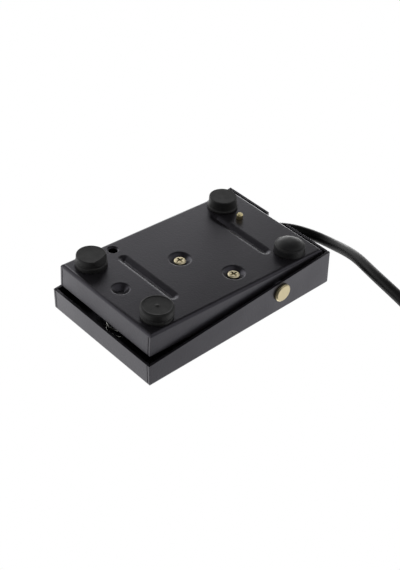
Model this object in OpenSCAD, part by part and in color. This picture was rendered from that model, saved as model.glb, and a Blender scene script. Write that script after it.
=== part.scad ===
// Industrial foot switch: a steel pedal tray hinged over a steel base tray, with a snap-action switch inside.
// Millimetres. +Z is up, +Y runs from the free front end to the cord end, and the feet stand on z = 0.

/* [Base tray] */
// Length of the base tray over its end walls
base_length = 98; // [92:1:106]
// Width of the base tray over its side walls
base_width = 60.4; // [57:0.2:68]
// Height of the front wall and of the low part of the side walls
base_wall = 11; // [8:0.5:12]
// Thickness of the folded steel sheet
sheet = 1.2; // [1:0.1:1.3]
// Outside radius of the folds
fold_r = 1.6; // [1.5:0.1:2.4]
// Width of the seam between two folded flaps
seam = 0.3; // [0.2:0.05:0.5]
// Length of the slope up to the tall rear part of the side walls
wall_slope = 4; // [2:0.5:8]
// Play left between the tall rear wall and the pedal that rests on it
rest_gap = 0.3; // [0.2:0.05:0.6]

/* [Pressed ribs in the base] */
// Overall length of each pressed rib
rib_length = 36.5; // [26:0.5:44]
// Width of each pressed rib at the surface
rib_width = 4.2; // [3.4:0.1:5]
// Depth that each rib is pressed in
rib_depth = 1.2; // [0.6:0.1:1.4]
// Width of each rib's flat crown
rib_crown = 0.8; // [0.6:0.1:1.4]
// Distance of the front rib ahead of the middle
rib_front = 25.2; // [20:0.2:28]
// Distance of the rear rib behind the middle
rib_rear = 27.6; // [26:0.2:29]
// Sideways place of the ribs' middle
rib_x = 0.7; // [-2:0.1:2]

/* [Pedal] */
// Gap between the base's side walls and the pedal's
side_gap = 1.1; // [0.9:0.1:1.6]
// Gap between the end walls, on average
end_gap = 1.3; // [1.2:0.1:2]
// How far the pedal sits towards the cord end
pedal_set_back = 1; // [0.8:0.1:1.2]
// Height of the pedal's front edge over the base's underside
pedal_height = 25; // [24:0.2:26.4]
// Slope of the pedal at rest, in degrees
pedal_tilt = 3.5; // [3:0.1:4]
// Depth of the pedal's front wall
pedal_front_wall = 11.3; // [9.5:0.1:12]
// Depth of the pedal's rear wall
pedal_rear_wall = 17.8; // [16:0.1:17.8]
// Travel of the pedal, in degrees
pedal_travel = 7; // [6:0.1:7.5]

/* [Tread ridges] */
// Number of anti-slip ridges across the pedal
ridge_count = 6; // [3:1:7]
// Length of each ridge
ridge_length = 45; // [30:1:52]
// Width of each ridge
ridge_width = 3.2; // [2.4:0.1:4]
// Height of each ridge
ridge_rise = 0.7; // [0.4:0.1:1]
// Distance from one ridge to the next
ridge_pitch = 8; // [6:0.5:9]
// Distance of the first ridge from the front edge
ridge_start = 12; // [8:0.5:16]

/* [Hinge] */
// Distance of the pin behind the middle of the base
hinge_y = 22.6; // [20:0.2:25]
// Height of the pin over the base's underside
hinge_height = 10; // [9.3:0.1:10.8]
// Diameter of the hinge pin
pin_d = 4; // [3:0.5:5]
// Diameter of the pin's head
pin_head_d = 8.4; // [7:0.2:10]
// Thickness of the pin's head
pin_head_h = 1.3; // [1:0.1:2]
// Width of the bevel round the head
pin_bevel = 0.6; // [0.3:0.1:0.8]
// Clearance all round in a running fit
running_gap = 0.05; // [0.02:0.01:0.08]
// Play at each end face of a turning or sliding piece
end_play = 0.1; // [0.05:0.01:0.15]
// Outside diameter of the washers between the trays
washer_d = 9; // [7:0.5:9.5]
// Thickness of the spring clip on the pin
clip_t = 0.7; // [0.6:0.1:1]
// Outside diameter of the spring clip
clip_d = 8; // [7:0.5:9]
// Depth of the clip's groove in the pin
clip_groove = 0.5; // [0.4:0.05:0.7]
// How far the tall side wall reaches ahead of the pin
ear_reach = 7; // [6:0.5:9]

/* [Feet] */
// Height of the rubber feet
foot_height = 5.6; // [4.6:0.1:7]
// Diameter of a foot at the base
foot_d = 14; // [11:0.5:15]
// Diameter of a foot's tip
foot_tip_d = 12.8; // [9:0.1:13.5]
// Rise of the domed tip of the rear left foot
dome_rise = 1.7; // [1:0.1:2]
// Diameter of that dome
dome_d = 11.6; // [9:0.1:12.5]
// Diameter of a foot's stem through the base
stem_d = 4.8; // [4:0.1:5.5]
// Diameter of the bulb that holds a foot
bulb_d = 6.2; // [5.8:0.1:7]
// Distance of the feet from the base's side edges
foot_inset = 8.3; // [8:0.1:10]
// Distance of the front feet from the base's front edge
foot_front = 10; // [8.5:0.5:12]
// Distance of the rear feet from the base's rear edge
foot_rear = 12.8; // [11.4:0.1:13.4]

/* [Return spring] */
// Distance of the spring ahead of the middle
spring_y = 39.4; // [38:0.2:40]
// Sideways place of the spring
spring_x = 1.2; // [-2:0.1:2]
// Mean diameter of the spring
spring_d = 10.8; // [10.4:0.1:12]
// Diameter of the spring wire
spring_wire = 1.1; // [0.9:0.1:1.2]
// Number of turns
spring_turns = 8; // [6:1:9]
// Radius of the pressed boss that centres the spring
boss_r = 4.1; // [3.8:0.1:4.4]
// Height of the pressed boss
boss_rise = 2.4; // [1.8:0.1:2.8]
// Diameter of the stop post inside the spring
post_d = 5; // [4:0.5:6]
// Play left at the end of the stroke
stop_gap = 0.3; // [0.2:0.05:0.6]

/* [Snap-action switch] */
// Length of the switch case
case_length = 27.8; // [27:0.1:29]
// Depth of the switch case, from the plunger face to the back
case_depth = 15.9; // [15.5:0.1:16.5]
// Thickness of the switch case
case_height = 10.3; // [9.8:0.1:10.5]
// Distance of the fixing holes from the case's edges
hole_edge = 2.8; // [2.6:0.1:3.2]
// Diameter of the fixing holes
case_hole_d = 3.2; // [3.1:0.1:3.6]
// Thickness of the case's cover plate
cover_t = 1.6; // [1.2:0.1:2]
// Sideways place of the switch
switch_x = -8.3; // [-9.5:0.1:-7]
// Lengthways place of the switch
switch_y = 0; // [-1:0.1:1]
// Turn of the switch on the base, in degrees
switch_turn = -4.4; // [-5:0.1:-3.8]
// Diameter of the plunger
plunger_d = 2.6; // [2:0.1:3]
// Width of the terminal blades
blade_w = 4.8; // [4:0.1:6.3]
// Thickness of the terminal blades
blade_t = 0.8; // [0.5:0.1:1]
// Length of the terminal blades outside the case
blade_l = 6.4; // [5:0.1:8]

/* [Actuating lever and striker] */
// Distance from the lever's pivot to its rolled tip
lever_length = 17.8; // [17:0.1:18.4]
// Angle that the free lever stands off the case, in degrees
lever_angle = 8.5; // [8:0.1:9]
// Width of the lever
lever_w = 4.2; // [3.6:0.1:4.6]
// Thickness of the lever
lever_t = 0.4; // [0.3:0.05:0.5]
// Radius of the lever's rolled tip
lever_tip_r = 1.2; // [1:0.05:1.4]
// Diameter of the lever's pivot pin
pivot_d = 1; // [0.8:0.05:1.1]
// Distance from the lever's pivot to the plunger
plunger_reach = 8; // [7.5:0.1:8.5]
// Slope of the striker's face, in degrees from upright
striker_slant = 30; // [28:0.5:31]
// Width of the striker
striker_w = 7; // [5:0.5:9]
// Thickness of the striker
striker_t = 1.2; // [0.8:0.1:1.5]
// Gap between the striker and the lever's tip at rest
striker_gap = 0.15; // [0.12:0.01:0.2]

/* [Screws] */
// Diameter of the screws that hold the switch
screw_d = 3; // [2.5:0.1:3]
// Diameter of their heads
screw_head_d = 5.3; // [5:0.1:6]
// Height of their heads
screw_head_h = 1.2; // [1:0.1:1.8]
// Radius of the pressed dimples round the heads
dimple_r = 5; // [4.6:0.1:5.6]
// Depth of the pressed dimples
dimple_depth = 1.8; // [1.4:0.1:2]
// Width across the flats of the nuts
nut_w = 5.5; // [5:0.1:5.5]
// Thickness of the nuts
nut_h = 2; // [1.6:0.1:2.2]
// Thickness of the washers under the nuts
nut_washer_t = 0.5; // [0.4:0.05:0.6]
// Length of the screw's end past the nut
screw_end = 0.3; // [0.1:0.05:0.4]
// Diameter of the spare hole for an earth screw
earth_hole_d = 3.9; // [3.2:0.1:4.2]
// Sideways place of the spare hole
earth_x = 25; // [23:0.1:25.2]
// Distance of the spare hole ahead of the middle
earth_y = 24.9; // [22:0.1:27]

/* [Cord entry] */
// Diameter of the round cord
cord_d = 5; // [4.6:0.1:5]
// Height of the cord's axis over the base's inner face, in its clip
cord_lift = 3.6; // [3.5:0.05:3.7]
// Sideways place of the cord in its clip
cord_x = 2.8; // [2.6:0.1:3]
// Width of the cord clip along the cord
cord_clip_w = 7; // [6:0.5:8]
// Thickness of the clip's strap
strap_t = 1; // [0.8:0.1:1]
// Distance of the clip behind the middle of the base
cord_clip_y = 35.8; // [35:0.1:36.5]
// Sideways place of the clip's screw
clip_screw_x = 9.8; // [9.6:0.1:10.4]
// Diameter of the clip's brass screw
clip_screw_d = 3; // [2.5:0.1:3.5]
// Length of the clip screw's tip below the base
clip_screw_tip = 2.6; // [1.5:0.1:3]
// Width of the opening in the base's rear wall
port_w = 9.8; // [9.4:0.2:11]
// Height of the opening in the base's rear wall
port_h = 7.4; // [7:0.1:7.8]
// Sideways place of the opening
port_x = 1.2; // [0.8:0.1:1.6]
// Wall thickness of the grommet in the opening
grommet_t = 0.8; // [0.6:0.1:0.9]
// Width of the notch in the pedal's rear wall
notch_w = 12.3; // [11:0.1:14]
// Depth of the notch in the pedal's rear wall
notch_h = 8.6; // [8.2:0.1:9]
// Sideways place of the notch
notch_x = 0.3; // [-0.5:0.1:1]
// Diameter of the insulated cores
core_d = 1.8; // [1.4:0.1:2]

/* [Hidden] */
$fn = 48;

// Room past a surface for a cut to run out
over = 1;

// Base
base_z = foot_height;
floor_in = base_z + sheet;
inner_w = base_width - 2*sheet;
inner_l = base_length - 2*sheet;

// Pedal: its own frame starts at the middle of its front top edge and slopes down towards the rear
pedal_width = base_width + 2*(side_gap + sheet);
pedal_length = base_length + 2*(end_gap + sheet);
pedal_front = pedal_set_back - pedal_length/2;
pedal_top = base_z + pedal_height;
function along_pedal(y, z) = (y - pedal_front)*cos(pedal_tilt) - (z - pedal_top)*sin(pedal_tilt);
function above_pedal(y, z) = (y - pedal_front)*sin(pedal_tilt) + (z - pedal_top)*cos(pedal_tilt);
function pedal_under(y) = pedal_top - (y - pedal_front)*tan(pedal_tilt) - sheet/cos(pedal_tilt);
rear_wall_top = pedal_under(base_length/2) - rest_gap;

// Hinge
hinge_z = base_z + hinge_height;
pin_r = pin_d/2;
pin_reach = pedal_width/2 + end_play + pin_head_h;
clip_x = pedal_width/2 + end_play;
washer_t = side_gap - 2*running_gap;

// Feet: side of the base (-1 left, 1 right) and place along it
foot_x = base_width/2 - foot_inset;
foot_front_y = foot_front - base_length/2;
foot_rear_y = base_length/2 - foot_rear;
foot_plan = [[-foot_x, foot_front_y], [foot_x, foot_front_y], [-foot_x, foot_rear_y], [foot_x, foot_rear_y]];
stem_hole_r = stem_d/2 + running_gap;

// Spring and stop post
spring_place = [spring_x, -spring_y];
spring_bottom = floor_in;
spring_top = pedal_under(-spring_y + spring_d/2 + spring_wire);
boss_top = floor_in + boss_rise;
post_drop = (hinge_y + spring_y)*sin(pedal_travel);
post_length = pedal_under(-spring_y) - boss_top - post_drop - post_d/2*sin(pedal_travel - pedal_tilt) - stop_gap;

// Switch frame: middle of the case, on the seats of the two dimples
hole_length = case_length - 2*hole_edge;
hole_depth = case_depth - 2*hole_edge;
seat_z = floor_in + dimple_depth;
case_mid = seat_z + case_height/2;
case_front = -case_depth/2;
pivot_stand = 1.25;
pivot = [-9.5, case_front - pivot_stand];
plunger_x = pivot[0] + plunger_reach;
barrel_r = 1;
lever_back = lever_t/2;
lug_t = 1.2;
lug_w = 2.4;
tip_local = pivot + lever_length*[cos(lever_angle), -sin(lever_angle)];
plunger_tip = pivot[1] - plunger_reach*tan(lever_angle) + (plunger_d/2 + lever_back + 0.1)/cos(lever_angle);
function switch_to_part(p) = [
    switch_x + p[0]*cos(switch_turn) - p[1]*sin(switch_turn),
    switch_y + p[0]*sin(switch_turn) + p[1]*cos(switch_turn)
];
switch_holes = [[hole_length/2, -hole_depth/2], [-hole_length/2, hole_depth/2]];
nut_z = seat_z + case_height + nut_washer_t;

// Terminals, in the switch frame: where each blade leaves the case, and which way
blade_to_screw = 0.2;
common_root = [(case_hole_d + blade_t - hole_length)/2 + blade_to_screw, case_depth/2];
open_root = [case_length/2, 5.2];
closed_root = [case_length/2, -1.6];

// Striker, from the point that its face has beside the lever's tip
tip_place = switch_to_part(tip_local);
tip_top = case_mid + lever_w/2;
face_y = tip_place[1] - lever_tip_r - striker_gap;
face_below = 1.1;
face_above = 5.6;
striker_foot = 10;

// Cord: the route's points were chosen by hand, in the part's frame
cord_r = cord_d/2;
cord_z = floor_in + cord_lift;
sheath_start = [cord_x, 30.5, cord_z];
cord_route = [
    sheath_start, [cord_x, 35, cord_z], [cord_x, 40, cord_z], [2, 45.8, 10.7], [-0.1, 51.1, 11.5],
    [-3.5, 55.6, 12.4], [-7.9, 58.9, 13.1], [-13.1, 61, 13.4], [-18.6, 61.6, 13.1], [-24.1, 61.1, 12.1],
    [-29.5, 59.8, 10.5], [-34.8, 58.1, 8.6], [-40.2, 56.3, 6.7], [-46, 54.4, 5.1], [-53, 52.4, 3.9],
    [-62, 50.1, 3], [-72, 47.8, 2.6], [-81, 45.7, 2.6], [-90, 43.4, 3], [-96.6, 41.9, 3.2]
];
coil_place = [-105, 75.4];
coil_in = 17.5;
coil_out = 37.2;
coil_h = 16.4;
coil_edge = 2.4;
tie_t = 0.7;
tie_w = 5;
tie_angle = 20;
end_turn = 220;
end_rise = 72;
end_sheath = 126;
stripped = 36;

// Shapes

// Ends of an outline that is open at the top, with round lower corners
module channel_profile(w, h, r) {
    translate([-w/2, r]) square([w, h - r]);
    translate([r - w/2, 0]) square([w - 2*r, h]);
    for (side = [-1, 1]) translate([side*(w/2 - r), r]) circle(r);
}

// Block of a folded tray, with round folds along the four lower edges
module folded_block(w, l, h, r) {
    intersection() {
        rotate([90, 0, 0]) linear_extrude(l, center = true) channel_profile(w, h, r);
        rotate([90, 0, 90]) linear_extrude(w, center = true) channel_profile(l, h, r);
    }
}

// Outline seen from the side, given as points [y, z], cut through the whole width
module side_outline(points) {
    rotate([90, 0, 90]) linear_extrude(200, center = true) polygon(points);
}

// Long pressed bead: a flat-topped ridge with round, sloping ends
module bead(length, w, top_w, h) {
    hull() {
        for (side = [-1, 1]) {
            translate([side*(length - w)/2, 0, 0]) cylinder(h = h, r1 = w/2, r2 = top_w/2, $fn = 32);
        }
    }
}

// Clamped uniform cubic B-spline through a list of control points
function spline_point(a, b, c, d, t) =
    (a*pow(1 - t, 3) + b*(3*pow(t, 3) - 6*t*t + 4) + c*(-3*pow(t, 3) + 3*t*t + 3*t + 1) + d*pow(t, 3))/6;
function clamped(p) = concat([2*p[0] - p[1]], p, [2*p[len(p) - 1] - p[len(p) - 2]]);
function spline(p, steps) = let (q = clamped(p)) concat(
    [for (i = [0:len(q) - 4], s = [0:steps - 1]) spline_point(q[i], q[i + 1], q[i + 2], q[i + 3], s/steps)],
    [p[len(p) - 1]]
);
function unit(v) = v/norm(v);
function heading(p, i) = unit(p[min(i + 1, len(p) - 1)] - p[max(i - 1, 0)]);

// Round tube of one skin along a path that never runs straight up
module tube(path, r, sides = 10) {
    rings = [for (i = [0:len(path) - 1]) let (
        t = heading(path, i), u = unit(cross(t, [0, 0, 1])), v = cross(u, t)
    ) [for (k = [0:sides - 1]) path[i] + r*cos(360*k/sides)*u + r*sin(360*k/sides)*v]];
    points = [for (ring = rings) each ring];
    last = len(path) - 1;
    faces = concat(
        [[for (k = [sides - 1:-1:0]) k]],
        [for (i = [0:last - 1], k = [0:sides - 1]) let (a = i*sides + k, b = i*sides + (k + 1) % sides)
            [a, b, b + sides, a + sides]],
        [[for (k = [0:sides - 1]) last*sides + k]]
    );
    polyhedron(points, faces, convexity = 6);
}

// Places children in the pedal's own frame, at rest
module on_pedal() {
    translate([0, pedal_front, pedal_top]) rotate([-pedal_tilt, 0, 0]) children();
}

// Places children in the switch's frame, at floor height
module on_switch() {
    translate([switch_x, switch_y, 0]) rotate([0, 0, switch_turn]) children();
}

module along_x(x, y, z) {
    translate([x, y, z]) rotate([0, 90, 0]) children();
}

// Cross recess of a screw head, cut downwards from z = 0 of the head's top
module cross_recess(size, depth) {
    for (turn = [0, 90]) rotate([0, 0, turn]) translate([-size/2, -size/8, -over]) cube([size, size/4, depth + over]);
}

// Sub-parts

module base_tray() {
    outline = [
        [-base_length/2 - over, -over], [base_length/2 + over, -over], [base_length/2 + over, rear_wall_top - base_z],
        [hinge_y - ear_reach, rear_wall_top - base_z], [hinge_y - ear_reach - wall_slope, base_wall],
        [-base_length/2 - over, base_wall]
    ];
    tall = rear_wall_top - base_z + over;
    color([0.1, 0.1, 0.11]) difference() {
        union() {
            translate([0, 0, base_z]) difference() {
                intersection() {
                    folded_block(base_width, base_length, tall, fold_r);
                    side_outline(outline);
                }
                translate([0, 0, sheet]) folded_block(inner_w, inner_l, tall, fold_r - sheet);
            }
            for (y = [-rib_front, rib_rear]) {
                translate([rib_x, y, floor_in - 0.2]) bead(rib_length + 1, rib_width + 1, rib_crown + 2, rib_depth + 0.2);
            }
            for (hole = switch_holes) {
                translate(concat(switch_to_part(hole), floor_in - 0.2))
                    cylinder(h = dimple_depth + 0.2, r1 = dimple_r - 0.1, r2 = screw_head_d/2 + 1.2);
            }
            translate([spring_x, -spring_y, floor_in - 0.2])
                cylinder(h = boss_rise + 0.2, r1 = boss_r + 0.05, r2 = post_d/2 + 0.3);
        }
        for (y = [-rib_front, rib_rear]) {
            translate([rib_x, y, base_z - 0.01]) bead(rib_length, rib_width, rib_crown, rib_depth + 0.01);
        }
        for (hole = switch_holes) {
            translate(concat(switch_to_part(hole), base_z - 0.01))
                cylinder(h = dimple_depth + 0.01, r1 = dimple_r, r2 = screw_head_d/2 + 0.4);
            translate(concat(switch_to_part(hole), base_z)) cylinder(h = 10, r = case_hole_d/2);
        }
        translate([spring_x, -spring_y, base_z - 0.01])
            cylinder(h = boss_rise + 0.01, r1 = boss_r - 0.1, r2 = boss_r - 2.6);
        for (place = foot_plan) translate([place[0], place[1], base_z - over]) cylinder(h = 4, r = stem_hole_r);
        translate([earth_x, -earth_y, base_z - over]) cylinder(h = 4, d = earth_hole_d);
        translate([earth_x, -earth_y, base_z - 0.01]) cylinder(h = 0.6, d1 = earth_hole_d + 1.6, d2 = earth_hole_d);
        translate([clip_screw_x, cord_clip_y, base_z - over]) cylinder(h = 4, d = clip_screw_d + 2*running_gap);
        along_x(-base_width, hinge_y, hinge_z) cylinder(h = 2*base_width, r = pin_r + running_gap);
        translate([port_x - port_w/2, base_length/2 - 3, floor_in + 0.4]) cube([port_w, 6, port_h]);
        for (side = [-1, 1], end = [-1, 1]) {
            translate([side*(base_width/2 - sheet - seam/2), end*(base_length/2 - sheet/2), base_z + fold_r + 15])
                cube([seam, 2*sheet, 30], center = true);
        }
    }
}

module pedal_tray() {
    outline = [
        [-pedal_length/2 - over, over], [pedal_length/2 + over, over],
        [pedal_length/2 + over, -pedal_rear_wall], [-pedal_length/2, -pedal_front_wall],
        [-pedal_length/2 - over, -pedal_front_wall]
    ];
    deep = pedal_rear_wall + over;
    ridge_reach = ridge_start + (ridge_count - 1)*ridge_pitch;
    color([0.1, 0.1, 0.11]) on_pedal() difference() {
        union() {
            translate([0, pedal_length/2, 0]) difference() {
                intersection() {
                    mirror([0, 0, 1]) folded_block(pedal_width, pedal_length, deep, fold_r);
                    side_outline(outline);
                }
                translate([0, 0, -sheet]) mirror([0, 0, 1])
                    folded_block(pedal_width - 2*sheet, pedal_length - 2*sheet, deep, fold_r - sheet);
            }
            for (y = [ridge_start:ridge_pitch:ridge_reach]) {
                translate([0, y, -0.2]) bead(ridge_length, ridge_width, ridge_width - 1.2, ridge_rise + 0.2);
            }
        }
        along_x(-pedal_width, along_pedal(hinge_y, hinge_z), above_pedal(hinge_y, hinge_z))
            cylinder(h = 2*pedal_width, r = pin_r + running_gap);
        translate([notch_x - notch_w/2, pedal_length - 3, -pedal_rear_wall - over])
            cube([notch_w, 6, notch_h + over]);
        for (side = [-1, 1], y = [sheet/2, pedal_length - sheet/2]) {
            translate([side*(pedal_width/2 - sheet - seam/2), y, -fold_r - 15]) cube([seam, 2*sheet, 30], center = true);
        }
    }
}

module hinge_pin() {
    groove_r = pin_r - clip_groove;
    color([0.78, 0.68, 0.4]) difference() {
        union() {
            along_x(-pedal_width/2 - end_play - over, hinge_y, hinge_z)
                cylinder(h = pedal_width/2 + end_play + over + pin_reach - 0.4, r = pin_r);
            along_x(pin_reach - 0.4, hinge_y, hinge_z) cylinder(h = 0.4, r1 = pin_r, r2 = pin_r - 0.4);
            along_x(-pin_reach + 0.4, hinge_y, hinge_z) cylinder(h = pin_head_h - 0.4, d = pin_head_d);
            along_x(-pin_reach, hinge_y, hinge_z)
                cylinder(h = 0.4, d1 = pin_head_d - 2*pin_bevel, d2 = pin_head_d);
        }
        along_x(clip_x, hinge_y, hinge_z) difference() {
            cylinder(h = clip_t + end_play, r = pin_r + over);
            cylinder(h = clip_t + end_play, r = groove_r);
        }
    }
}

module retaining_clip() {
    inner = pin_r - clip_groove + running_gap;
    color([0.5, 0.5, 0.5]) along_x(clip_x + end_play/2, hinge_y, hinge_z) difference() {
        cylinder(h = clip_t, d = clip_d);
        translate([0, 0, -over]) cylinder(h = clip_t + 2*over, r = inner);
        translate([-inner + 0.3, 0, -over]) cube([2*inner - 0.6, clip_d, clip_t + 2*over]);
        for (turn = [-60, 60]) rotate([0, 0, turn]) translate([0, -inner - 0.3, -over])
            cylinder(h = clip_t + 2*over, r = 0.9);
    }
}

module hinge_washers() {
    color([0.75, 0.75, 0.72]) for (side = [-1, 1]) {
        along_x(side*(base_width/2 + side_gap/2) - washer_t/2, hinge_y, hinge_z) difference() {
            cylinder(h = washer_t, d = washer_d);
            translate([0, 0, -over]) cylinder(h = washer_t + 2*over, r = pin_r + running_gap);
        }
    }
}

// Rubber foot: a wider band against the base, a narrower tip, and a stem with a bulb through the sheet
module foot(place, domed = false) {
    band = domed ? foot_height - dome_rise : foot_height/2;
    tip_r = foot_tip_d/2;
    dome_r = (dome_d*dome_d/4 + dome_rise*dome_rise)/(2*dome_rise);
    color([0.07, 0.07, 0.07]) translate([place[0], place[1], 0]) {
        translate([0, 0, foot_height - band]) cylinder(h = band, r = foot_d/2);
        if (domed) {
            intersection() {
                cylinder(h = dome_rise + 0.2, d = dome_d);
                translate([0, 0, dome_r]) sphere(dome_r, $fn = 96);
            }
        } else {
            translate([0, 0, 0.5]) cylinder(h = foot_height - band - 0.3, r = tip_r);
            cylinder(h = 0.5, r1 = tip_r - 0.5, r2 = tip_r);
        }
        translate([0, 0, foot_height - 0.2]) cylinder(h = sheet + 0.5, d = stem_d);
        translate([0, 0, floor_in + 0.1]) cylinder(h = 0.8, d = bulb_d);
        translate([0, 0, floor_in + 0.9]) cylinder(h = 1.2, d1 = bulb_d, d2 = stem_d - 1.4);
    }
}

module foot_front_left() {
    foot(foot_plan[0]);
}

module foot_front_right() {
    foot(foot_plan[1]);
}

module foot_rear_left() {
    foot(foot_plan[2], domed = true);
}

module foot_rear_right() {
    foot(foot_plan[3]);
}

// Compression spring with one closed turn at each end
module return_spring() {
    wire_r = spring_wire/2;
    low = spring_bottom + wire_r + 0.05;
    high = spring_top - wire_r - 0.05;
    closed = 1.08*spring_wire;
    inner_turns = spring_turns - 2;
    function rise(t) = t < 1 ? low + closed*t
        : t > spring_turns - 1 ? high - closed*(spring_turns - t)
        : low + closed + (high - low - 2*closed)*(t - 1)/inner_turns;
    path = [for (i = [0:spring_turns*16]) let (t = i/16) [
        spring_place[0] + spring_d/2*cos(360*t), spring_place[1] + spring_d/2*sin(360*t), rise(t)
    ]];
    color([0.75, 0.76, 0.78]) tube(path, wire_r, 6);
}

module stop_post() {
    color([0.6, 0.6, 0.62]) on_pedal() translate([
        spring_x, along_pedal(-spring_y, pedal_under(-spring_y)), -sheet - post_length
    ]) {
        cylinder(h = 0.5, r1 = post_d/2 - 0.5, r2 = post_d/2);
        translate([0, 0, 0.5]) cylinder(h = post_length - 0.5, d = post_d);
    }
}

// Bent plate under the pedal, with a sloping face that wipes the lever's tip aside
module striker() {
    slope = [sin(striker_slant), cos(striker_slant)];
    low = [face_y, tip_top] - face_below*slope;
    bend = [face_y, tip_top] + face_above*slope;
    f0 = [along_pedal(low[0], low[1]), above_pedal(low[0], low[1])];
    f1 = [along_pedal(bend[0], bend[1]), above_pedal(bend[0], bend[1])];
    back = striker_t*[-cos(striker_slant), sin(striker_slant)];
    profile = [
        f0, f1, [f1[0], -sheet], [f1[0] - striker_foot, -sheet], [f1[0] - striker_foot, -sheet - striker_t],
        [f1[0] - striker_t, -sheet - striker_t], [f1[0] - striker_t, f1[1] + striker_t*tan(striker_slant/2)],
        f0 + back
    ];
    color([0.7, 0.7, 0.72]) on_pedal() translate([tip_place[0], 0, 0])
        rotate([90, 0, 90]) linear_extrude(striker_w, center = true) polygon(profile);
}

module case_holes() {
    for (hole = switch_holes) translate([hole[0], hole[1], 0]) cylinder(h = 60, d = case_hole_d);
}

module switch_case() {
    color([0.12, 0.12, 0.13]) on_switch() difference() {
        union() {
            translate([-case_length/2, -case_depth/2, seat_z])
                cube([case_length, case_depth, case_height - cover_t]);
            for (z = [case_mid - lever_w/2 - end_play - lug_t, case_mid + lever_w/2 + end_play]) {
                if (z + lug_t < seat_z + case_height - cover_t + 3) {
                    translate([pivot[0] - lug_w/2, pivot[1] - lug_w/2, z]) cube([lug_w, lug_w/2 + pivot_stand + 0.5, lug_t]);
                }
            }
        }
        case_holes();
        translate([plunger_x, case_front + 7, case_mid]) rotate([90, 0, 0])
            cylinder(h = 12, r = plunger_d/2 + running_gap);
        translate([pivot[0], pivot[1], 0]) cylinder(h = 60, d = pivot_d + 2*running_gap);
        translate([common_root[0] - blade_t/2, common_root[1] - 2, case_mid - blade_w/2]) cube([blade_t, 5, blade_w]);
        for (root = [open_root, closed_root]) {
            translate([root[0] - 2, root[1] - blade_t/2, case_mid - blade_w/2]) cube([5, blade_t, blade_w]);
        }
    }
}

module switch_cover() {
    color([0.16, 0.16, 0.17]) on_switch() difference() {
        translate([-case_length/2, -case_depth/2, seat_z + case_height - cover_t])
            cube([case_length, case_depth, cover_t]);
        case_holes();
    }
}

module switch_plunger() {
    color([0.75, 0.15, 0.12]) on_switch() translate([plunger_x, 0, case_mid]) rotate([90, 0, 0]) {
        translate([0, 0, 2.3]) cylinder(h = -plunger_tip - 2.3, d = plunger_d);
        translate([0, 0, -plunger_tip]) intersection() {
            sphere(d = plunger_d);
            translate([-5, -5, -0.01]) cube([10, 10, 5]);
        }
    }
}

module switch_lever() {
    color([0.72, 0.72, 0.74]) on_switch() translate([pivot[0], pivot[1], case_mid - lever_w/2])
        rotate([0, 0, -lever_angle]) difference() {
            union() {
                cylinder(h = lever_w, r = barrel_r);
                translate([0, -lever_back, 0]) cube([lever_length, lever_t, lever_w]);
                translate([lever_length, 0, 0]) cylinder(h = lever_w, r = lever_tip_r);
            }
            translate([0, 0, -over]) cylinder(h = lever_w + 2*over, d = pivot_d + 2*running_gap);
        }
}

module lever_pin() {
    reach = lever_w/2 + end_play + lug_t;
    color([0.6, 0.6, 0.62]) on_switch() translate([pivot[0], pivot[1], case_mid - reach])
        cylinder(h = 2*reach, d = pivot_d);
}

module terminal(root, turn) {
    color([0.8, 0.72, 0.45]) on_switch() translate([root[0], root[1], case_mid]) rotate([0, 0, turn]) difference() {
        translate([-1.9, -blade_t/2 + 0.02, -blade_w/2 + 0.02]) cube([blade_l + 1.9, blade_t - 0.04, blade_w - 0.04]);
        translate([blade_l - 2.2, 3, 0]) rotate([90, 0, 0]) cylinder(h = 6, r = 0.8);
    }
}

module terminal_common() {
    terminal(common_root, 90);
}

module terminal_open() {
    terminal(open_root, 0);
}

module terminal_closed() {
    terminal(closed_root, 0);
}

module switch_screws() {
    head_z = base_z + dimple_depth - screw_head_h;
    top = nut_z + nut_h + screw_end;
    color([0.82, 0.74, 0.5]) for (hole = switch_holes) {
        translate(concat(switch_to_part(hole), 0)) difference() {
            union() {
                translate([0, 0, head_z]) cylinder(h = 0.4, d1 = screw_head_d - 1, d2 = screw_head_d);
                translate([0, 0, head_z + 0.4]) cylinder(h = screw_head_h - 0.4, d = screw_head_d);
                translate([0, 0, head_z + 0.4]) cylinder(h = top - head_z - 0.4, d = screw_d);
            }
            translate([0, 0, head_z]) cross_recess(3.4, 0.9);
        }
    }
}

module switch_washers() {
    color([0.75, 0.75, 0.72]) for (hole = switch_holes) {
        translate(concat(switch_to_part(hole), seat_z + case_height)) difference() {
            cylinder(h = nut_washer_t, d = nut_w + 0.9);
            translate([0, 0, -over]) cylinder(h = nut_washer_t + 2*over, d = screw_d + 2*running_gap);
        }
    }
}

module switch_nuts() {
    color([0.8, 0.72, 0.5]) for (hole = switch_holes) {
        translate(concat(switch_to_part(hole), nut_z)) difference() {
            cylinder(h = nut_h, d = nut_w/cos(30), $fn = 6);
            translate([0, 0, -over]) cylinder(h = nut_h + 2*over, d = screw_d + 2*running_gap);
        }
    }
}

// Strap bent round the cord, with both its ends under the screw
module cord_clip() {
    loop_r = cord_r + strap_t + running_gap;
    flange = clip_screw_x - cord_x + 3.2;
    color([0.85, 0.85, 0.82]) translate([cord_x, cord_clip_y, floor_in]) difference() {
        union() {
            translate([0, cord_clip_w/2, cord_lift]) rotate([90, 0, 0]) cylinder(h = cord_clip_w, r = loop_r);
            translate([0, -cord_clip_w/2, cord_lift - loop_r]) cube([flange, cord_clip_w, 2*strap_t]);
        }
        translate([0, cord_clip_w, cord_lift]) rotate([90, 0, 0])
            cylinder(h = 2*cord_clip_w, r = cord_r + running_gap);
        translate([clip_screw_x - cord_x, 0, -over]) cylinder(h = 10, d = clip_screw_d + 2*running_gap);
    }
}

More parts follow.
